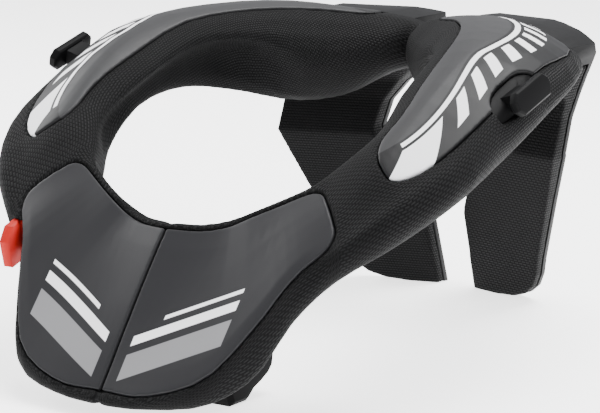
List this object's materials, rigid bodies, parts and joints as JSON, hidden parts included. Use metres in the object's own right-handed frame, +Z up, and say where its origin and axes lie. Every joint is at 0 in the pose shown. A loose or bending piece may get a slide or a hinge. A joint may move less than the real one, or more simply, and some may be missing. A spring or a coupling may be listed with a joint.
{
  "type": "motocross_neck_brace",
  "caption": "Motocross neck brace, youth size: foam collar with rigid plates, two back fins, chest feet, strap hooks and a red release tab",
  "frame": {"origin": "bounding-box bottom centre: on the surface it stands on, midway across and midway between the front hem and the backs of the fins", "axes": "+Z up, +Y to the back (the fins), +X to the right of someone facing the front; the release tab is on the -X side"},
  "size_m": [0.241, 0.2838, 0.1402],
  "materials": {
    "foam": "textured",
    "plate": "satin",
    "rubber": "satin",
    "red": "satin"
  },
  "bodies": {
    "brace": {"foam_collar": "foam", "front_plate_right": "plate", "front_plate_left": "plate", "side_plate_right": "plate", "side_plate_left": "plate", "fin_pad_right": "foam", "fin_pad_left": "foam", "fin_shell_right": "plate", "fin_shell_left": "plate", "chest_foot_right": "rubber", "chest_foot_left": "rubber", "strap_hook_right": "rubber", "strap_hook_left": "rubber"},
    "release": {"release_tab": "red"}
  },
  "joints": [
    {"name": "release_press", "type": "slide", "parent": "brace", "child": "release", "axis": [1, 0, 0], "range_m": [0, 0.003], "stiffness_N_per_m": 400}
  ]
}
